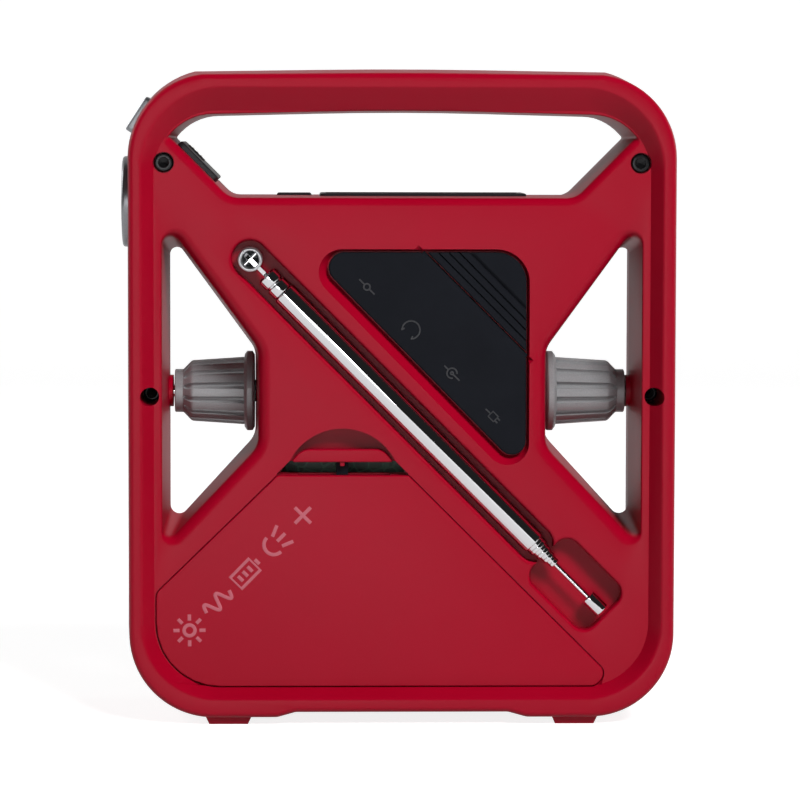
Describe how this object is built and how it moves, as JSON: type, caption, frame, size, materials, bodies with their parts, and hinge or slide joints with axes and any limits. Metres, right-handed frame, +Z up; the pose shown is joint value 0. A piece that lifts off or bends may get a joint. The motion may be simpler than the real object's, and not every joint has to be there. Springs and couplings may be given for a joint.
{
  "type": "emergency radio",
  "caption": "Upright emergency radio in a rounded carrying frame, with side knobs, folding telescopic antenna, rubber port cover, battery door, lamp, solar strip and hand crank.",
  "frame": {"origin": "middle of the footprint, on the plane the feet stand on", "axes": "+Z up the radio's height, +Y out of its front, -Y out of its back, +X to the right as the back is looked at"},
  "size_m": [0.15, 0.058, 0.1759],
  "materials": {
    "red_abs": "fine satin texture",
    "black_rubber": "matt",
    "black_steel": "black oxide",
    "chrome": "polished",
    "grey_metallic": "satin metallic paint",
    "silver": "satin silver",
    "steel": "machined",
    "contact_metal": "nickel plated",
    "clear_plastic": "clear",
    "reflector": "mirror coated",
    "led_yellow": "clear dome over phosphor",
    "black_plastic": "satin",
    "cell_blue": "dark blue cells",
    "board_green": "solder mask",
    "ferrite": "sintered",
    "display_grey": "reflective display",
    "speaker_frame": "pressed frame and cone",
    "brass": "turned",
    "gear_white": "moulded",
    "cell_wrap": "printed sleeve"
  },
  "bodies": {
    "frame": {"rear_housing": "red_abs", "front_housing": "red_abs", "housing_screws": "black_steel", "feet": "red_abs", "port_cover_anchor": "black_rubber", "port_sockets": "black_plastic", "port_board": "board_green", "antenna_base": "chrome", "antenna_pin": "chrome", "knob_pins": "chrome", "tuning_control": "black_plastic", "volume_control": "black_plastic", "lamp_bezel": "silver", "lamp_lens": "clear_plastic", "lamp_reflector": "reflector", "lamp_led": "led_yellow", "solar_frame": "black_plastic", "solar_cell": "cell_blue", "arm_plate": "black_plastic", "main_board": "board_green", "ferrite_rod": "ferrite", "display_module": "display_grey", "display_window": "clear_plastic", "speaker": "speaker_frame", "speaker_grille": "black_plastic", "crank_bearing": "brass", "idler_pin": "steel", "generator_body": "steel", "aaa_cells": "cell_wrap", "battery_contacts": "contact_metal", "rechargeable_pack": "cell_wrap"},
    "door": {"battery_door": "red_abs"},
    "latch": {"door_latch": "red_abs"},
    "flap": {"port_cover_flap": "black_rubber"},
    "knuckle": {"antenna_knuckle": "chrome"},
    "mast": {"antenna_tube": "chrome"},
    "mast_1": {"antenna_section_1": "chrome"},
    "mast_2": {"antenna_section_2": "chrome"},
    "mast_3": {"antenna_section_3": "chrome"},
    "mast_4": {"antenna_section_4": "chrome"},
    "mast_tip": {"antenna_tip": "chrome"},
    "tuning": {"tuning_knob": "grey_metallic", "tuning_spindle": "steel"},
    "volume": {"volume_knob": "grey_metallic", "volume_spindle": "steel"},
    "corner_key": {"corner_button": "silver"},
    "light_key": {"light_button": "black_plastic"},
    "slider": {"arm_slider": "black_plastic"},
    "front_key_1": {"front_button_1": "black_plastic"},
    "front_key_2": {"front_button_2": "black_plastic"},
    "front_key_3": {"front_button_3": "black_plastic"},
    "crank": {"crank_arm": "black_plastic", "grip_pivot_pin": "steel", "crank_gear": "gear_white"},
    "post": {"grip_post": "steel"},
    "grip": {"crank_grip": "black_plastic"},
    "idler": {"idler_gear": "gear_white"},
    "rotor": {"generator_rotor": "steel"}
  },
  "joints": [
    {"name": "door_swing", "type": "hinge", "parent": "frame", "child": "door", "pos_m": [0, -0.024, 0.011], "axis": [1, 0, 0], "range_deg": [0, 70]},
    {"name": "latch_press", "type": "slide", "parent": "door", "child": "latch", "axis": [0, 0, -1], "range_m": [0, 0.0015], "stiffness_N_per_m": 800},
    {"name": "flap_lift", "type": "hinge", "parent": "frame", "child": "flap", "pos_m": [0.01967, -0.02353, 0.11166], "axis": [-0.7071, 0, 0.7071], "range_deg": [0, 90]},
    {"name": "antenna_lift", "type": "hinge", "parent": "frame", "child": "knuckle", "pos_m": [-0.04066, -0.0245, 0.12485], "axis": [-0.7071, 0, -0.7071], "range_deg": [0, 90]},
    {"name": "antenna_spin", "type": "hinge", "parent": "knuckle", "child": "mast", "pos_m": [-0.04066, -0.0245, 0.12485], "axis": [0.7071, 0, -0.7071], "continuous": true},
    {"name": "antenna_draw_1", "type": "slide", "parent": "mast", "child": "mast_1", "axis": [0.7071, 0, -0.7071], "range_m": [0, 0.075]},
    {"name": "antenna_draw_2", "type": "slide", "parent": "mast_1", "child": "mast_2", "axis": [0.7071, 0, -0.7071], "range_m": [0, 0.075]},
    {"name": "antenna_draw_3", "type": "slide", "parent": "mast_2", "child": "mast_3", "axis": [0.7071, 0, -0.7071], "range_m": [0, 0.075]},
    {"name": "antenna_draw_4", "type": "slide", "parent": "mast_3", "child": "mast_4", "axis": [0.7071, 0, -0.7071], "range_m": [0, 0.075]},
    {"name": "antenna_draw_tip", "type": "slide", "parent": "mast_4", "child": "mast_tip", "axis": [0.7071, 0, -0.7071], "range_m": [0, 0.08]},
    {"name": "tuning_turn", "type": "hinge", "parent": "frame", "child": "tuning", "pos_m": [-0.05, 0, 0.0881], "axis": [1, 0, 0], "continuous": true},
    {"name": "volume_turn", "type": "hinge", "parent": "frame", "child": "volume", "pos_m": [0.05, 0, 0.0881], "axis": [1, 0, 0], "range_deg": [-150, 150]},
    {"name": "corner_press", "type": "slide", "parent": "frame", "child": "corner_key", "axis": [0.8378, 0, -0.5459], "range_m": [0, 0.0008], "stiffness_N_per_m": 900},
    {"name": "light_press", "type": "slide", "parent": "frame", "child": "light_key", "axis": [0, 0, -1], "range_m": [0, 0.0006], "stiffness_N_per_m": 900},
    {"name": "slider_move", "type": "slide", "parent": "frame", "child": "slider", "axis": [0.7071, 0, -0.7071], "range_m": [0, 0.004]},
    {"name": "front_press_1", "type": "slide", "parent": "frame", "child": "front_key_1", "axis": [0, -1, 0], "range_m": [0, 0.0006], "stiffness_N_per_m": 700},
    {"name": "front_press_2", "type": "slide", "parent": "frame", "child": "front_key_2", "axis": [0, -1, 0], "range_m": [0, 0.0006], "stiffness_N_per_m": 700},
    {"name": "front_press_3", "type": "slide", "parent": "frame", "child": "front_key_3", "axis": [0, -1, 0], "range_m": [0, 0.0006], "stiffness_N_per_m": 700},
    {"name": "crank_turn", "type": "hinge", "parent": "frame", "child": "crank", "pos_m": [0, 0, 0.0881], "axis": [0, 1, 0], "continuous": true},
    {"name": "grip_fold", "type": "hinge", "parent": "crank", "child": "post", "pos_m": [0.035, 0.0248, 0.0881], "axis": [0, 0, -1], "range_deg": [0, 90]},
    {"name": "grip_spin", "type": "hinge", "parent": "post", "child": "grip", "pos_m": [0.022, 0.0248, 0.0881], "axis": [1, 0, 0], "continuous": true},
    {"name": "idler_turn", "type": "hinge", "parent": "frame", "child": "idler", "pos_m": [-0.0192, 0.011, 0.0881], "axis": [0, 1, 0], "continuous": true},
    {"name": "rotor_turn", "type": "hinge", "parent": "frame", "child": "rotor", "pos_m": [-0.0192, 0.01, 0.1041], "axis": [0, 1, 0], "continuous": true}
  ],
  "couplings": [
    {"joint": "idler_turn", "follows": "crank_turn", "ratio": -3},
    {"joint": "rotor_turn", "follows": "crank_turn", "ratio": 9},
    {"joint": "antenna_draw_1", "follows": "antenna_lift", "m_per_rad": 0.047745},
    {"joint": "antenna_draw_2", "follows": "antenna_lift", "m_per_rad": 0.047745},
    {"joint": "antenna_draw_3", "follows": "antenna_lift", "m_per_rad": 0.047745},
    {"joint": "antenna_draw_4", "follows": "antenna_lift", "m_per_rad": 0.047745},
    {"joint": "antenna_draw_tip", "follows": "antenna_lift", "m_per_rad": 0.050929}
  ]
}
